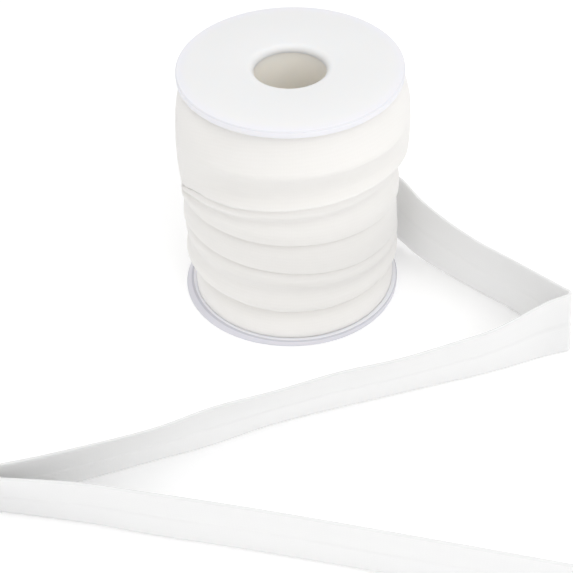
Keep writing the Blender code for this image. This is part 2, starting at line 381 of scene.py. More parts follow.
class SpoolSizes(bpy.types.PropertyGroup):
    """Sizes and colours of the plastic spool."""

    hole_radius: length_setting("Bore radius", 8.8, (3, 20), "Radius of the hole for a spindle")
    hole_rounding: length_setting(
        "Bore edge rounding",
        1.6,
        (0.0, 1.8),
        "Rounding of the bore's edge on each disc's outer face",
    )
    rim_rounding: length_setting(
        "Rim rounding", 0.3, (0.0, 0.9), "Rounding of the two edges of each disc's rim"
    )
    sides: bpy.props.IntProperty(
        name="Sides",
        description="Flat sides of each turned piece",
        default=192,
        min=32,
        max=512,
    )
    disc_colour: colour_setting("Disc colour", "EFEFEF", "Colour of the moulded discs")
    # Painted light: a disc is coloured bluer towards its rim, where more light passes through it
    rim_light_colour: colour_setting(
        "Rim colour", "ECECF1", "Colour towards a disc's rim, where more light passes through it"
    )
    # Painted shade: the thin grey line along a disc's upper edge
    edge_shade_colour: colour_setting(
        "Edge colour", "C6C6CE", "Colour of the thin line along a disc's upper edge"
    )
    # Painted shade: the bottom disc's rim side is a darker grey for the shade near the floor, and
    # its spread left side stands in for the shadow on the floor
    foot_shade_colour: colour_setting(
        "Foot colour", "DFDEE5", "Colour of the bottom disc's thick rim, seen through its side"
    )
    tube_colour: colour_setting(
        "Tube colour", "FBF6EE", "Colour of the tube that the elastic is wound on"
    )


class ElasticSizes(bpy.types.PropertyGroup):
    """Sizes and colours of the elastic band."""

    width: length_setting("Band width", 20, (10, 40), "Width of the flat band")
    thickness: length_setting(
        "Band thickness", 0.8, (0.4, 1.5), "Thickness of the band between its selvedges"
    )
    fold_depth: length_setting(
        "Fold line depth",
        0.12,
        (0.0, 0.35),
        "Depth of the fold line along the band's middle, on each face",
    )
    wound_colour: colour_setting(
        "Wound elastic colour", "F4F2EF", "Colour of the band in many layers"
    )
    # Painted shade: the single layer's colour is darker than the wound elastic's, for the less
    # light that one layer sends back
    loose_shade_colour: colour_setting(
        "Loose elastic colour", "E5E5E5", "Colour of the band in one layer"
    )


class StageSizes(bpy.types.PropertyGroup):
    """The floor, the lights and the air round the roll."""

    floor_radius: bpy.props.FloatProperty(
        name="Floor radius",
        description="Radius of the pale floor",
        default=4.0,
        min=1.0,
        unit="LENGTH",
    )
    floor_colour: colour_setting("Floor colour", "FAFAFA", "Colour of the floor")
    floor_glow: bpy.props.FloatProperty(
        name="Floor glow",
        description="Strength of the light that the floor gives by itself",
        default=0.15,
        min=0.0,
    )
    right_power: power_setting(
        "Right light", 2.0, "Power of the soft light at the upper right of the front"
    )
    front_power: power_setting("Front light", 0.85, "Power of the soft light above the front")
    overhead_power: power_setting(
        "Overhead light", 4.6, "Power of the large soft light over the roll"
    )
    sky_strength: bpy.props.FloatProperty(
        name="Surrounding light",
        description="Strength of the even white light from all round",
        default=0.62,
        min=0.0,
    )


def deselect_all():
    """Clears the selection, so that the next operator finds nothing of another piece."""
    bpy.ops.object.select_all(action="DESELECT")


def add_node(tree, kind, settings=None, inputs=None):
    """Adds a node, sets its settings, and sets or links its inputs, given by name or place."""
    node = tree.nodes.new(kind)
    for name, value in (settings or {}).items():
        setattr(node, name, value)
    for name, value in (inputs or {}).items():
        if isinstance(value, bpy.types.NodeSocket):
            tree.links.new(value, node.inputs[name])
        else:
            node.inputs[name].default_value = value
    return node


def new_material(name):
    """An empty material, its node tree and the input of its output node."""
    material = bpy.data.materials.new(name)
    material.use_nodes = True
    tree = material.node_tree
    tree.nodes.clear()
    output = tree.nodes.new("ShaderNodeOutputMaterial")
    return material, tree, output.inputs["Surface"]


def from_axis(tree):
    """The distance from the spool's axis and the height, as two sockets."""
    place = add_node(tree, "ShaderNodeTexCoord").outputs["Object"]
    centring = {"Vector": place, "Location": (-SPOOL_AXIS.x, -SPOOL_AXIS.y, 0.0)}
    centred = add_node(tree, "ShaderNodeMapping", inputs=centring).outputs[0]
    axes = add_node(tree, "ShaderNodeSeparateXYZ", inputs={0: centred}).outputs
    flat = add_node(tree, "ShaderNodeCombineXYZ", inputs={0: axes["X"], 1: axes["Y"]}).outputs[0]
    length = add_node(tree, "ShaderNodeVectorMath", {"operation": "LENGTH"}, {0: flat})
    return length.outputs["Value"], axes["Z"]


def ramp(tree, value, low, high):
    """0 where a value is at low and 1 where it is at high, with a soft step between."""
    limits = {"Value": value, "From Min": low, "From Max": high}
    node = add_node(tree, "ShaderNodeMapRange", {"interpolation_type": "SMOOTHSTEP"}, limits)
    return node.outputs["Result"]


def noise_at(tree, place, scale, detail):
    """Smooth noise from 0 to 1, with its scale in cells per metre."""
    inputs = {"Vector": place, "Scale": scale, "Detail": detail}
    return add_node(tree, "ShaderNodeTexNoise", inputs=inputs).outputs["Fac"]


def calculated(tree, operation, *values):
    """The result of an operation on numbers, each a socket or a value."""
    inputs = dict(enumerate(values))
    return add_node(tree, "ShaderNodeMath", {"operation": operation}, inputs).outputs[0]


def blend_numbers(tree, share, first, second):
    """A mix of two numbers, each a socket or a value."""
    inputs = {0: share, 2: first, 3: second}
    return add_node(tree, "ShaderNodeMix", {"data_type": "FLOAT"}, inputs).outputs[0]


def blend_colours(tree, share, first, second):
    """A mix of two colours, each a colour socket or red, green and blue."""
    inputs = {0: share, 6: first, 7: second}
    for place in (6, 7):
        if not isinstance(inputs[place], bpy.types.NodeSocket):
            inputs[place] = (*inputs[place], 1.0)
    return add_node(tree, "ShaderNodeMix", {"data_type": "RGBA"}, inputs).outputs[2]


def moulded_polypropylene(name, colour, rim=None):
    """Natural polypropylene, injection moulded: milky, so light softens inside it, with a satin
    skin that is faintly uneven. A disc gets bluer towards its rim, painted light where more light
    passes through it. Its rim's side has a colour of its own, and a thin grey line of painted
    shade marks its upper edge, where the light bends in the clear corner."""
    material, tree, surface = new_material(name)
    place = add_node(tree, "ShaderNodeTexCoord").outputs["Object"]
    mottle = noise_at(tree, place, MOTTLE_SCALE, 3.0)
    tone = blend_colours(tree, mottle, [c * MOTTLE_DARK for c in colour], colour)
    if rim:
        out, height = from_axis(tree)
        # Painted light: the colour turns bluer towards the rim, where more light passes through
        # the plastic
        outward = ramp(tree, out, FLANGE_RADIUS - RIM_FADE, FLANGE_RADIUS)
        tone = blend_colours(tree, outward, tone, rim.face)
        # The rim's side colour, which is painted shade on the bottom disc
        side = ramp(tree, out, FLANGE_RADIUS - SIDE_STEP[0], FLANGE_RADIUS - SIDE_STEP[1])
        tone = blend_colours(tree, side, tone, rim.side)
        # Painted shade: a thin grey line along the disc's upper edge
        line_start = FLANGE_RADIUS - EDGE_LINE_WIDTH
        at_rim = ramp(tree, out, line_start, line_start + EDGE_LINE_WIDTH / 2)
        line_foot = rim.top - EDGE_LINE_HEIGHT
        above = ramp(tree, height, line_foot, line_foot + EDGE_LINE_HEIGHT / 2)
        line = calculated(tree, "MULTIPLY", at_rim, above)
        tone = blend_colours(tree, line, tone, rim.edge)
    skin = noise_at(tree, place, SKIN_SCALE, 4.0)
    bump = add_node(
        tree, "ShaderNodeBump", inputs={"Height": skin, "Strength": 0.25, "Distance": 0.05 * MM}
    )
    roughness = add_node(
        tree, "ShaderNodeMapRange", inputs={"Value": mottle, "To Min": 0.38, "To Max": 0.5}
    )
    shader = add_node(
        tree,
        "ShaderNodeBsdfPrincipled",
        inputs={
            "Base Color": tone,
            "Roughness": roughness.outputs["Result"],
            "IOR": 1.49,
            "Subsurface Weight": 0.5,
            "Subsurface Radius": (1.0, 0.9, 0.8),
            "Subsurface Scale": 2.0 * MM,
            "Normal": bump.outputs["Normal"],
        },
    )
    tree.links.new(shader.outputs["BSDF"], surface)
    return material


def darkened(tree, share, tone, multiplier):
    """A colour made darker by a multiplier where share is 1."""
    inputs = {0: share, 6: tone, 7: (multiplier, multiplier, multiplier, 1.0)}
    settings = {"data_type": "RGBA", "blend_type": "MULTIPLY"}
    return add_node(tree, "ShaderNodeMix", settings, inputs).outputs[2]


def marked_band(tree, band, place, tone, width):
    """A broken darker streak along the fold line, partly where the knit is pressed and partly
    painted shade in its groove, and a thin dark line of painted shade along each rounded
    selvedge."""
    across = add_node(tree, "ShaderNodeSeparateXYZ", inputs={0: band}).outputs["Y"]
    from_fold = calculated(tree, "ABSOLUTE", calculated(tree, "SUBTRACT", across, width / 2))
    breaks = noise_at(tree, place, BREAK_SCALE, 4.0)
    # The fold line's streak: partly the pressed knit, partly painted shade in its groove
    near_fold = ramp(tree, from_fold, *reversed(FOLD_MARK))
    pressed = calculated(tree, "MULTIPLY", near_fold, ramp(tree, breaks, *FOLD_BREAKS))
    tone = darkened(tree, pressed, tone, FOLD_TONE_AND_SHADE)
    # Painted shade: a thin dark line along each rounded selvedge
    inner, outer = width / 2 - SELVEDGE_SHADE_MARK[1], width / 2 - SELVEDGE_SHADE_MARK[0]
    return darkened(tree, ramp(tree, from_fold, inner, outer), tone, SELVEDGE_SHADE_TONE)


def knitted_elastic(name, colour, clearness, depth, fade=None):
    """Warp-knitted nylon and elastane: matt, with fine ribs along the band, short cross stitches
    between them and a faint bloom at grazing angles. The real ribs are about half a millimetre
    apart, and are drawn coarser so that they show. The loose end fades along itself to a second,
    darker colour, painted shade for a single layer, and bears the marks of a single layer."""
    material, tree, surface = new_material(name)
    band = add_node(tree, "ShaderNodeUVMap", {"uv_map": BAND_MAP}).outputs["UV"]
    place = add_node(tree, "ShaderNodeTexCoord").outputs["Object"]
    period_at_scale_1 = math.pi / 10
    ribs = add_node(
        tree,
        "ShaderNodeTexWave",
        {"bands_direction": "Y"},
        {
            "Vector": band,
            "Scale": period_at_scale_1 / RIB_PITCH,
            "Distortion": 0.6,
            "Detail": 1.0,
            "Detail Scale": 0.4,
        },
    )
    picks = add_node(
        tree,
        "ShaderNodeTexWave",
        {"bands_direction": "X"},
        {
            "Vector": band,
            "Scale": period_at_scale_1 / PICK_PITCH,
            "Distortion": 1.5,
            "Detail": 2.0,
            "Detail Scale": 0.8,
        },
    )
    knit = blend_numbers(tree, PICK_SHARE, ribs.outputs["Fac"], picks.outputs["Fac"])
    fuzz = noise_at(tree, place, FUZZ_SCALE, 3.0)
    relief = blend_numbers(tree, FUZZ_SHARE, knit, fuzz)
    bump = add_node(
        tree, "ShaderNodeBump", inputs={"Height": relief, "Strength": 0.15, "Distance": 0.05 * MM}
    )
    cloud = noise_at(tree, place, CLOUD_SCALE, 3.0)
    shade = blend_numbers(tree, KNIT_SHARE, cloud, knit)
    tone = blend_colours(tree, shade, [c * KNIT_DARK for c in colour], colour)
    if fade:
        along = add_node(tree, "ShaderNodeSeparateXYZ", inputs={0: band}).outputs["X"]
        # Painted shade: the loose end darkens to the colour of a single layer
        loose = blend_colours(tree, shade, [c * KNIT_DARK for c in fade.colour], fade.colour)
        loose_share = ramp(tree, along, fade.start, fade.end)
        tone = blend_colours(tree, loose_share, tone, loose)
        clearness = blend_numbers(tree, loose_share, BACKED_CLEARNESS, clearness)
        depth = blend_numbers(tree, loose_share, BACKED_DEPTH, depth)
        tone = marked_band(tree, band, place, tone, bpy.context.scene.elastic_sizes.width)
    shader = add_node(
        tree,
        "ShaderNodeBsdfPrincipled",
        inputs={
            "Base Color": tone,
            "Roughness": 0.88,
            "IOR": 1.5,
            "Specular IOR Level": 0.25,
            "Sheen Weight": 0.15,
            "Sheen Roughness": 0.5,
            "Subsurface Weight": clearness,
            "Subsurface Radius": (1.0, 1.0, 0.97),
            "Subsurface Scale": depth,
            "Normal": bump.outputs["Normal"],
        },
    )
    tree.links.new(shader.outputs["BSDF"], surface)
    return material


def wound_elastic_material():
    """Many layers deep, so little light passes through."""
    colour = list(bpy.context.scene.elastic_sizes.wound_colour)
    return knitted_elastic("warp_knit_elastic_wound", colour, WOUND_CLEARNESS, WOUND_DEPTH)


def loose_elastic_material(leaving):
    """One layer, which lets light through from its other side. It looks like the wound elastic up
    to where it leaves the roll, at the given length along it, and past that it is darker, painted
    shade for a single layer."""
    sizes = bpy.context.scene.elastic_sizes
    fade = Fade(list(sizes.loose_shade_colour), leaving - FADE_BEFORE, leaving + FADE_AFTER)
    colour = list(sizes.wound_colour)
    name = "warp_knit_elastic_loose"
    return knitted_elastic(name, colour, LOOSE_CLEARNESS, LOOSE_DEPTH, fade)


def select_in_edit_mode(mesh, kind, chosen):
    """Leaves edit mode, selects the chosen faces or edges alone, and goes back in."""
    bpy.ops.mesh.select_all(action="DESELECT")
    bpy.ops.object.mode_set(mode="OBJECT")
    for item in getattr(mesh, kind):
        item.select = chosen(item)
    bpy.ops.object.mode_set(mode="EDIT")


def is_level(face):
    """Whether a face lies flat, as a disc's two round faces do."""
    return abs(face.normal.z) > LEVEL_FACE_NORMAL


def bored_disc(name, radius, hole_radius, low, high, sides):
    """A disc or tube on the spool's axis, made from a cylinder by boring it. It is left in
    edit mode."""
    deselect_all()
    bpy.ops.mesh.primitive_cylinder_add(
        vertices=sides,
        radius=radius,
        depth=high - low,
        end_fill_type="NGON",
        location=(SPOOL_AXIS.x, SPOOL_AXIS.y, (low + high) / 2),
    )
    disc = bpy.context.object
    disc.name = disc.data.name = name
    bpy.ops.object.transform_apply(location=True, rotation=True, scale=True)
    bpy.ops.object.mode_set(mode="EDIT")
    bpy.ops.mesh.select_mode(type="FACE")
    select_in_edit_mode(disc.data, "polygons", is_level)
    bpy.ops.mesh.inset(thickness=radius - hole_radius, depth=0.0)
    bpy.ops.mesh.bridge_edge_loops()
    return disc


def is_ring_edge(mesh, edge, radius, height):
    """Whether both ends of an edge are at a radius from the spool's axis and at a height."""
    for index in edge.vertices:
        place = mesh.vertices[index].co
        out = math.hypot(place.x - SPOOL_AXIS.x, place.y - SPOOL_AXIS.y)
        if abs(out - radius) > RING_RADIUS_TOLERANCE:
            return False
        if abs(place.z - height) > RING_HEIGHT_TOLERANCE:
            return False
    return True


def bevel_ring(piece, rings, width, segments):
    """Rounds the ring edges given as (radius, height)."""
    mesh = piece.data
    bpy.ops.mesh.select_mode(type="EDGE")
    select_in_edit_mode(
        mesh, "edges", lambda edge: any(is_ring_edge(mesh, edge, r, z) for r, z in rings)
    )
    bpy.ops.mesh.bevel(offset=width, segments=segments, profile=0.5, affect="EDGES")


def finish_turned(piece, material, node):
    """Closes the modelling of a turned piece and puts it where its node is."""
    bpy.ops.mesh.select_all(action="SELECT")
    bpy.ops.mesh.normals_make_consistent(inside=False)
    bpy.ops.object.mode_set(mode="OBJECT")
    bpy.ops.object.shade_smooth_by_angle(angle=SHADE_ANGLE)
    piece.data.materials.append(material)
    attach(piece, "root")
    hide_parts(node)


class ROLL_OT_core_tube(bpy.types.Operator):
    """Bore the tube that the elastic is wound on"""

    bl_idname = "elastic_roll.core_tube"
    bl_label = "Core tube"

    def execute(self, context):
        sizes = context.scene.spool_sizes
        tube = bored_disc(
            "core_tube_wall",
            CORE_RADIUS,
            sizes.hole_radius,
            FLANGE_THICKNESS,
            SPOOL_HEIGHT - FLANGE_THICKNESS,
            sizes.sides,
        )
        material = moulded_polypropylene("cream_polypropylene", list(sizes.tube_colour))
        finish_turned(tube, material, "core_tube")
        return {"FINISHED"}


def spread_foot_as_shadow(disc):
    """The bottom disc's rim slants outwards down to the floor on its left side, as the photograph
    shows. With the rim's painted shade colour, this spread rim stands in for the shadow that
    falls on the floor at the disc's left. Each place moves by its height in the rim and by how
    far left it is."""
    for vertex in disc.data.vertices:
        place = vertex.co
        out = Vector((place.x - SPOOL_AXIS.x, place.y - SPOOL_AXIS.y, 0.0))
        if out.length < FLANGE_RADIUS - FOOT_ZONE:
            continue
        depth = 1.0 - place.z / FLANGE_THICKNESS
        leftness = max(0.0, -out.normalized().x) ** FOOT_POWER
        vertex.co = place + out.normalized() * FOOT_SPREAD * depth * leftness


class ROLL_OT_flanges(bpy.types.Operator):
    """Mould the two discs at the spool's ends"""

    bl_idname = "elastic_roll.flanges"
    bl_label = "Flanges"

    def execute(self, context):
        sizes = context.scene.spool_sizes
        top_low = SPOOL_HEIGHT - FLANGE_THICKNESS
        disc_colour, rim_light_colour = list(sizes.disc_colour), list(sizes.rim_light_colour)
        edge_shade_colour = list(sizes.edge_shade_colour)
        # The top disc's line of painted shade is fainter
        faint_edge_shade = [r + (e - r) * TOP_EDGE_SHARE for r, e in zip(rim_light_colour, edge_shade_colour)]
        for name, low, outer_face, side_light_and_shade, line_shade_colour in (
            ("bottom_flange", 0.0, 0.0, list(sizes.foot_shade_colour), edge_shade_colour),
            ("top_flange", top_low, SPOOL_HEIGHT, rim_light_colour, faint_edge_shade),
        ):
            high = low + FLANGE_THICKNESS
            rim = Rim(rim_light_colour, side_light_and_shade, line_shade_colour, high)
            material = moulded_polypropylene(name + "_polypropylene", disc_colour, rim)
            disc = bored_disc(
                name + "_disc", FLANGE_RADIUS, sizes.hole_radius, low, high, sizes.sides
            )
            rims = [(FLANGE_RADIUS, low), (FLANGE_RADIUS, high)]
            hole = [(sizes.hole_radius, outer_face)]
            bevel_ring(disc, rims, sizes.rim_rounding, RIM_SEGMENTS)
            bevel_ring(disc, hole, sizes.hole_rounding, HOLE_SEGMENTS)
            finish_turned(disc, material, name)
            # The bottom disc's left rim is spread out to stand in for the shadow on the floor
            # there
            if name == "bottom_flange":
                spread_foot_as_shadow(disc)
        return {"FINISHED"}


def smooth(share):
    """0 to 1 with no corner at either end."""
    share = min(1.0, max(0.0, share))
    return share * share * (3 - 2 * share)


def ring_noise(angle, rate, layer):
    """Smooth noise about -1 to 1 that closes on itself round the axis."""
    return noise.noise(Vector((math.cos(angle) * rate, math.sin(angle) * rate, layer)))


def curve_through(knots, values, at):
    """A smooth curve through unevenly spaced knots, read at the given places."""
    knots, values, at = (np.asarray(v, float) for v in (knots, values, at))
    slopes = np.gradient(values, knots)
    index = np.clip(np.searchsorted(knots, at) - 1, 0, len(knots) - 2)
    span = knots[index + 1] - knots[index]
    t = np.clip((at - knots[index]) / span, 0.0, 1.0)
    return (
        (2 * t**3 - 3 * t**2 + 1) * values[index]
        + (t**3 - 2 * t**2 + t) * span * slopes[index]
        + (3 * t**2 - 2 * t**3) * values[index + 1]
        + (t**3 - t**2) * span * slopes[index + 1]
    )


def crossing_value(field, degrees):
    """A value of the loose end's way down at an angle between its rows."""
    rows = CROSSING[::-1]
    angles = [row.angle for row in rows]
    return float(np.interp(degrees, angles, [getattr(row, field) for row in rows]))


def turn_edge(turn, angle, layer):
    """How high a turn's lower edge is at an angle, with the slight waves of a real edge. At
    the left, the first turn's edge drops with the loose end that comes out of it."""
    front, right = -math.sin(angle), math.cos(angle)
    height = turn.edge + turn.front * front + turn.right * right
    if turn.name == "fifth":
        return height
    quick = QUICK_WAVE_SHARE * ring_noise(angle, QUICK_WAVES, layer)
    height += EDGE_WAVE * (ring_noise(angle, SLOW_WAVES, layer) + quick)
    degrees = math.degrees(angle) % 360
    if turn.name == "first" and EDGE_DROP_END < degrees < CROSSING[0].angle:
        lowest = turn_edge(TURNS[1], angle, 1) + EDGE_CLEARANCE
        lift = max(crossing_value("lift", degrees), lowest)
        drop = smooth((degrees - EDGE_DROP_END) / EDGE_DROP_FADE)
        height += (min(lift, height) - height) * drop
    return height


def depth_under_crossing(degrees):
    """How much deeper the turns lie under the loose end's way down."""
    after_start = smooth((EMERGENCE - degrees) / CROSSING_FADE)
    before_end = smooth((degrees - CROSSING[-1].angle) / CROSSING_FADE)
    return CROSSING_DEPTH * after_start * before_end


def turn_radius(name, angle, shares):
    """A turn's face, from its upper edge (0) to its lower edge (1), as LEVELS has it."""
    levels = LEVELS[name]
    radii = [level.radius + level.right * math.cos(angle) for level in levels]
    return curve_through([level.part for level in levels], radii, shares)


def first_turn_radius(angle, shares):
    """The first turn's face, from its upper edge (0) to its lower edge (1). It is deeply
    folded at the front, and only crowned at the sides and the back."""
    folded = turn_radius("first", angle, shares)
    shares = np.asarray(shares)
    crowned = SIDE_RADIUS + SIDE_CROWN * np.sin(math.pi * shares) ** CROWN_POWER
    crowned -= UPPER_DRAW * np.clip(1 - shares / UPPER_SHARE, 0, 1) ** 2
    crowned += RIGHT_SWELL * max(0.0, math.cos(angle)) * shares**RIGHT_SWELL_POWER
    degrees = math.degrees(angle) % 360
    front = smooth((degrees - FOLDS_START) / FOLDS_START_FADE)
    front *= smooth((FOLDS_END - degrees) / FOLDS_END_FADE)
    return crowned + (folded - crowned) * front


def winding_section(angle):
    """The wound elastic's face at one angle: rows of (radius, height, place across the band)."""
    rows = []
    above = WINDING_TOP
    deeper = depth_under_crossing(math.degrees(angle))
    for layer, turn in enumerate(TURNS):
        below = turn_edge(turn, angle, layer)
        top = above - (0.0 if turn.name == "first" else LIP_GAP)
        last = turn.name == "fifth"
        lip_share = 1.0 if last else 1.0 - LIP_RADIUS / (top - below)
        shares = np.linspace(0.0, lip_share, FACE_ROWS[turn.name])
        if turn.name == "first":
            faces = first_turn_radius(angle, shares) - deeper
        else:
            faces = turn_radius(turn.name, angle, shares) - deeper
        heights = top + (below - top) * shares
        for radius, height in zip(faces, heights):
            crease = CREASE_HEIGHT * ring_noise(angle, CREASE_RATE_ROUND, height * CREASE_RATE_UP)
            rows.append((radius + crease, height, height - below))
        if last:
            continue
        lip_radius = faces[-1]
        centre = (lip_radius - LIP_RADIUS, below + LIP_RADIUS)
        for step in range(1, LIP_STEPS + 1):
            turned = -LIP_TURN * step / LIP_STEPS
            radius = centre[0] + LIP_RADIUS * math.cos(turned)
            height = centre[1] + LIP_RADIUS * math.sin(turned)
            rows.append((radius, height, height - below))
        rows += [(lip_radius - depth, below + rise, across) for depth, rise, across in LIP_INSIDE]
        above = below
    return rows


def closed_loft(name, columns, maps):
    """A mesh from equal columns of places round the axis, each joined to the next, and to
    itself from its last place to its first. maps holds (along, across) for each place."""
    count, height = len(columns), len(columns[0])
    places = [place for column in columns for place in column]
    faces = []
    for i in range(count):
        for j in range(height):
            k, m = (i + 1) % count, (j + 1) % height
            faces.append((i * height + j, i * height + m, k * height + m, k * height + j))
    mesh = bpy.data.meshes.new(name)
    mesh.from_pydata(places, [], faces)
    layer = mesh.uv_layers.new(name=BAND_MAP)
    turn_length = maps[1][0][0] * count
    for face_index, face in enumerate(mesh.polygons):
        wraps = face_index // height == count - 1
        for loop in face.loop_indices:
            i, j = divmod(mesh.loops[loop].vertex_index, height)
            along = maps[i][j][0] + (turn_length if wraps and i == 0 else 0.0)
            layer.data[loop].uv = (along, maps[i][j][1])
    return mesh


def add_cloth(name, mesh, material):
    """Puts a cloth mesh in the scene, with its faces pointing outwards and shaded smooth."""
    piece = bpy.data.objects.new(name, mesh)
    bpy.context.scene.collection.objects.link(piece)
    deselect_all()
    piece.select_set(True)
    bpy.context.view_layer.objects.active = piece
    bpy.ops.object.mode_set(mode="EDIT")
    bpy.ops.mesh.select_all(action="SELECT")
    bpy.ops.mesh.normals_make_consistent(inside=False)
    bpy.ops.object.mode_set(mode="OBJECT")
    bpy.ops.object.shade_smooth()
    mesh.materials.append(material)
    return piece


class ROLL_OT_winding(bpy.types.Operator):
    """Wind the overlapping turns of elastic on the spool"""

    bl_idname = "elastic_roll.winding"
    bl_label = "Wound elastic"

    def execute(self, context):
        columns, maps = [], []
        inner = CORE_RADIUS / MM + CORE_CLEARANCE
        for step in range(WINDING_COLUMNS):
            angle = 2 * math.pi * step / WINDING_COLUMNS
            section = winding_section(angle)
            section += [(inner, TURNS[-1].edge, 0.0), (inner, WINDING_TOP, 0.0)]
            along = Vector((math.cos(angle), math.sin(angle), 0.0))
            columns.append(
                [SPOOL_AXIS + (along * r + Vector((0.0, 0.0, z))) * MM for r, z, _ in section]
            )
            length = FLANGE_RADIUS * angle
            maps.append([(length, across * MM) for _, _, across in section])
        mesh = closed_loft("wound_elastic_turns", columns, maps)
        winding = add_cloth("wound_elastic_turns", mesh, wound_elastic_material())
        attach(winding, "root")
        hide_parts("wound_elastic")
        return {"FINISHED"}


def catmull_rom(p0, p1, p2, p3, t):
    """A point between p1 and p2 on the smooth curve through four points."""
    return 0.5 * (
        2 * p1
        + (p2 - p0) * t
        + (2 * p0 - 5 * p1 + 4 * p2 - p3) * t * t
        + (3 * p1 - p0 - 3 * p2 + p3) * t * t * t
    )


def smooth_run(stations):
    """Stations about STATION_SPACING apart on the smooth curve through the given ones."""
    points = [Vector(station) for station in stations]
    points = [2 * points[0] - points[1]] + points + [2 * points[-1] - points[-2]]
    run = []
    for i in range(1, len(points) - 2):
        distance = (points[i + 1].to_2d() - points[i].to_2d()).length
        steps = max(1, round(distance / STATION_SPACING))
        run += [catmull_rom(*points[i - 1 : i + 3], step / steps) for step in range(steps)]
    return run + [points[-2]]


def crossing_stations():
    """Upright stations round the winding, up to where the band leaves it. Those still hidden
    in the first turn follow its lower edge."""
    run = []
    for crossing in CROSSING:
        angle = math.radians(crossing.angle)
        x, y = CROSSING_PATH * math.cos(angle), CROSSING_PATH * math.sin(angle)
        lift = crossing.lift
        if crossing.angle > EMERGENCE:
            lift = turn_edge(TURNS[0], angle, 0) + HIDDEN_LIFT
        run.append(Station(x, y, lift, 0.0, 0.0))
    return run


def is_on_winding(x, y):
    """Whether a station is before the place where the band leaves the winding."""
    degrees = math.degrees(math.atan2(y, x)) % 360
    on_path = math.hypot(x, y) < CROSSING_PATH + PATH_REACH
    return on_path and CROSSING[-1].angle < degrees < CROSSING[0].angle + ANGLE_SLACK


def out_on_winding(x, y, across, width, thickness):
    """How far the band's middle lies outside CROSSING_PATH at a place across it, where it lies
    on the winding. It starts inside the first turn's face, comes out of it, and settles."""
    if not is_on_winding(x, y):
        return 0.0
    degrees = math.degrees(math.atan2(y, x)) % 360
    share = across / width
    crown = crossing_value("crown", degrees) * math.sin(math.pi * share) ** CROWN_POWER
    settled = crossing_value("radius", degrees) + crown
    angle = math.radians(degrees)
    face_height = WINDING_TOP - turn_edge(TURNS[0], angle, 0)
    face = float(first_turn_radius(angle, [1 - across / face_height])[0])
    face -= HIDDEN_DEPTH * smooth((degrees - EMERGENCE) / HIDDEN_FADE)
    outer = face + (settled - face) * smooth((EMERGENCE - degrees) / EMERGENCE_FADE)
    return outer - thickness / 2 - CROSSING_PATH


def join_at_fold(run_in, run_out):
    """Two runs that meet at a corner, joined there by a tight arc of FOLD_RADIUS."""
    corner = run_in[-1]
    near = round(FOLD_APPROACH / STATION_SPACING)
    arriving = (run_in[-near].to_2d() - corner.to_2d()).normalized()
    leaving = (run_out[near].to_2d() - corner.to_2d()).normalized()
    half = arriving.angle(leaving) / 2
    reach = FOLD_RADIUS / math.tan(half)
    centre = corner.to_2d() + (arriving + leaving).normalized() * FOLD_RADIUS / math.sin(half)
    start = corner.to_2d() + arriving * reach - centre
    turn = (corner.to_2d() + leaving * reach - centre).angle_signed(start)
    before = [s for s in run_in if (s.to_2d() - corner.to_2d()).length > reach + FOLD_RADIUS]
    after = [s for s in run_out if (s.to_2d() - corner.to_2d()).length > reach + FOLD_RADIUS]
    fold = []
    for step in range(FOLD_STEPS + 1):
        angle = turn * step / FOLD_STEPS
        cos, sin = math.cos(angle), math.sin(angle)
        spoke = Vector((start.x * cos - start.y * sin, start.x * sin + start.y * cos))
        place = centre + spoke
        fold.append(Vector((place.x, place.y, *corner[2:])))
    return before + fold + after


def loose_end_stations():
    """Every station of the loose end, from the winding to its cut end."""
    to_right = smooth_run((*crossing_stations(), *RUN_TO_RIGHT))
    to_left = smooth_run(RUN_TO_LEFT)
    to_front = smooth_run(RUN_TO_FRONT)
    return join_at_fold(join_at_fold(to_right, to_left), to_front)


def half_thickness(across, width, thickness, fold_depth):
    """Half the band's thickness at a place across it: round at the selvedges, and drawn in
    along the fold line. All in millimetres."""
    from_edge = min(across, width - across)
    round_edge = math.sqrt(max(0.0, 1 - (1 - min(1.0, from_edge / SELVEDGE)) ** 2))
    groove = fold_depth * math.exp(-(((across - width / 2) / (FOLD_LINE_WIDTH / 2)) ** 2))
    return thickness / 2 * round_edge - groove


def band_places(width):
    """Places across the band, from 0 to its width, closer at its edges and its fold line."""
    steps = [math.radians(90 * i / SELVEDGE_PLACES) for i in range(SELVEDGE_PLACES)]
    edge = [SELVEDGE * (1 - math.cos(step)) for step in steps]
    side = list(np.linspace(SELVEDGE, width / 2 - FOLD_LINE_WIDTH, FACE_PLACES))
    middle = list(np.linspace(width / 2 - FOLD_LINE_WIDTH, width / 2, FOLD_PLACES))[1:]
    half = edge + side + middle
    return half + [width - place for place in reversed(half[:-1])]


def band_middle(stations, places, width, thickness):
    """The band's middle surface: a point for each station and each place across the band."""
    middle = np.zeros((len(stations), len(places), 3))
    for i, (x, y, lift, lean_x, lean_y) in enumerate(stations):
        rise = math.sqrt(width**2 - lean_x**2 - lean_y**2)
        foot, across = Vector((x, y, lift)), Vector((lean_x, lean_y, rise))
        outward = Vector((x, y, 0.0)).normalized()
        for j, place in enumerate(places):
            shift = out_on_winding(x, y, place, width, thickness)
            middle[i, j] = foot + across * (place / width) + outward * shift
    return middle


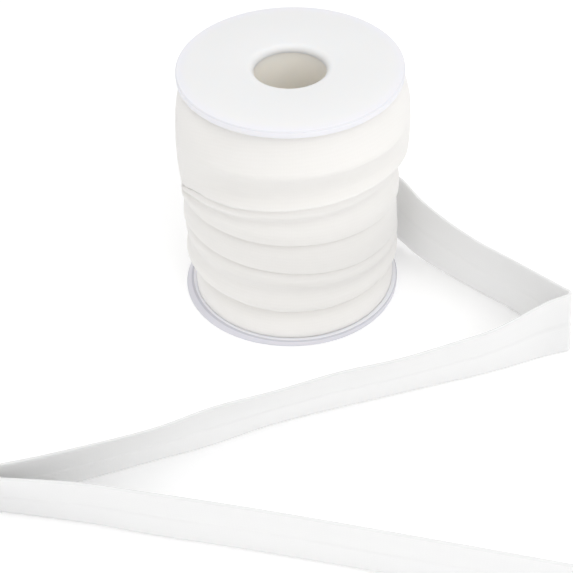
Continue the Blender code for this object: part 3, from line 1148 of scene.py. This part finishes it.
def band_mesh(name, middle, half, places, length):
    """A closed band round its middle surface, half thick on either side of it, with its ends
    capped and its map in metres along and across it."""
    normal = np.cross(np.gradient(middle, axis=0), np.gradient(middle, axis=1))
    normal /= np.linalg.norm(normal, axis=2, keepdims=True)
    outer = middle + normal * half[None, :, None]
    inner = middle - normal * half[None, :, None]
    ring = np.concatenate([outer, inner[:, -2:0:-1]], axis=1)
    ring_places = places + places[-2:0:-1]
    count = len(ring_places)
    faces = []
    for i in range(len(middle) - 1):
        here, ahead = i * count, (i + 1) * count
        for j in range(count):
            m = (j + 1) % count
            faces.append((here + j, ahead + j, ahead + m, here + m))
    for base in (0, (len(middle) - 1) * count):
        for j in range(len(places) - 1):
            opposite = [(count - j) % count, count - j - 1]
            cap = [base + j, base + j + 1, base + opposite[1], base + opposite[0]]
            faces.append(tuple(dict.fromkeys(cap)))
    axis = np.array([SPOOL_AXIS.x, SPOOL_AXIS.y, 0.0])
    mesh = bpy.data.meshes.new(name)
    mesh.from_pydata((ring.reshape(-1, 3) * MM + axis).tolist(), [], faces)
    layer = mesh.uv_layers.new(name=BAND_MAP)
    for loop in mesh.loops:
        i, j = divmod(loop.vertex_index, count)
        layer.data[loop.index].uv = (length[i] * MM, ring_places[j] * MM)
    return mesh


class ROLL_OT_loose_end(bpy.types.Operator):
    """Lay the loose end of the elastic on its edge, with its two folds"""

    bl_idname = "elastic_roll.loose_end"
    bl_label = "Loose end"

    def execute(self, context):
        sizes = context.scene.elastic_sizes
        width, thickness = sizes.width / MM, sizes.thickness / MM
        places = band_places(width)
        stations = loose_end_stations()
        middle = band_middle(stations, places, width, thickness)
        half = [half_thickness(p, width, thickness, sizes.fold_depth / MM) for p in places]
        steps = [(b.to_2d() - a.to_2d()).length for a, b in zip(stations, stations[1:])]
        length = np.concatenate([[0.0], np.cumsum(steps)])
        mesh = band_mesh("loose_end_band", middle, np.array(half), places, length)
        leaving = max(i for i, (x, y, *_) in enumerate(stations) if is_on_winding(x, y))
        material = loose_elastic_material(float(length[leaving]) * MM)
        band = add_cloth("loose_end_band", mesh, material)
        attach(band, "root")
        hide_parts("loose_end")
        return {"FINISHED"}


def aim(light, target):
    """Turns a light so that it points at a place."""
    light.rotation_euler = (target - light.location).to_track_quat("-Z", "Y").to_euler()


class ROLL_OT_stage(bpy.types.Operator):
    """Set the pale floor, the soft lights and the camera"""

    bl_idname = "elastic_roll.stage"
    bl_label = "Stage"

    def execute(self, context):
        sizes = context.scene.stage_sizes
        scene = context.scene
        deselect_all()
        bpy.ops.mesh.primitive_circle_add(
            vertices=FLOOR_SIDES, radius=sizes.floor_radius, fill_type="NGON", location=(0, 0, 0)
        )
        floor = context.object
        floor.name = "floor"
        # Smooth matt paper: white and even, with hardly a highlight
        material, tree, surface = new_material("matt_white_paper")
        paper = add_node(
            tree,
            "ShaderNodeBsdfPrincipled",
            inputs={
                "Base Color": (*sizes.floor_colour, 1.0),
                "Roughness": 0.9,
                "Specular IOR Level": 0.1,
                "Emission Color": (1.0, 1.0, 1.0, 1.0),
                "Emission Strength": sizes.floor_glow,
            },
        )
        tree.links.new(paper.outputs["BSDF"], surface)
        floor.data.materials.append(material)

        world = bpy.data.worlds.new("studio_air")
        world.use_nodes = True
        air = world.node_tree.nodes["Background"]
        air.inputs["Color"].default_value = (1.0, 1.0, 1.0, 1.0)
        air.inputs["Strength"].default_value = sizes.sky_strength
        scene.world = world

        for box in SOFTBOXES:
            bpy.ops.object.light_add(type="AREA", location=box.place)
            light = context.object
            light.name = box.name
            light.data.shape = "DISK"
            light.data.size = box.size
            light.data.energy = getattr(sizes, box.power)
            aim(light, LIGHT_TARGET)

        bpy.ops.object.camera_add(location=CAMERA_PLACE)
        camera = context.object
        camera.name = "camera"
        forward = Vector((0.0, math.cos(CAMERA_PITCH), -math.sin(CAMERA_PITCH)))
        level_up = Vector((0.0, math.sin(CAMERA_PITCH), math.cos(CAMERA_PITCH)))
        level_right = Vector((1.0, 0.0, 0.0))
        right = level_right * math.cos(CAMERA_ROLL) + level_up * math.sin(CAMERA_ROLL)
        up = level_up * math.cos(CAMERA_ROLL) - level_right * math.sin(CAMERA_ROLL)
        turned = Matrix((right, up, -forward)).transposed()
        camera.rotation_euler = turned.to_euler()
        camera.data.sensor_width = CAMERA_SENSOR
        camera.data.lens = CAMERA_FOCUS_PIXELS / PHOTO_WIDTH * CAMERA_SENSOR
        scene.camera = camera
        scene.view_settings.view_transform = "Standard"
        return {"FINISHED"}


class ROLL_PT_panel(bpy.types.Panel):
    """The roll's sizes and the buttons that make its pieces"""

    bl_idname = "ROLL_PT_panel"
    bl_label = "Elastic roll"
    bl_space_type = "VIEW_3D"
    bl_region_type = "UI"
    bl_category = "Elastic roll"

    def draw(self, context):
        for group in GROUPS:
            box = self.layout.box()
            holder = getattr(context.scene, group)
            for name in holder.bl_rna.properties.keys():
                if name not in ("rna_type", "name"):
                    box.prop(holder, name)
        for operator in OPERATORS:
            self.layout.operator(operator.bl_idname)


GROUPS = {"spool_sizes": SpoolSizes, "elastic_sizes": ElasticSizes, "stage_sizes": StageSizes}
OPERATORS = (
    ROLL_OT_core_tube,
    ROLL_OT_flanges,
    ROLL_OT_winding,
    ROLL_OT_loose_end,
    ROLL_OT_stage,
)


def register():
    for name, group in GROUPS.items():
        bpy.utils.register_class(group)
        setattr(bpy.types.Scene, name, bpy.props.PointerProperty(type=group))
    for operator in OPERATORS:
        bpy.utils.register_class(operator)
    bpy.utils.register_class(ROLL_PT_panel)


def unregister():
    bpy.utils.unregister_class(ROLL_PT_panel)
    for operator in reversed(OPERATORS):
        bpy.utils.unregister_class(operator)
    for name, group in GROUPS.items():
        delattr(bpy.types.Scene, name)
        bpy.utils.unregister_class(group)


def main():
    register()
    bpy.ops.elastic_roll.core_tube()
    bpy.ops.elastic_roll.flanges()
    bpy.ops.elastic_roll.winding()
    bpy.ops.elastic_roll.loose_end()
    bpy.ops.elastic_roll.stage()


if __name__ == "__main__":
    main()
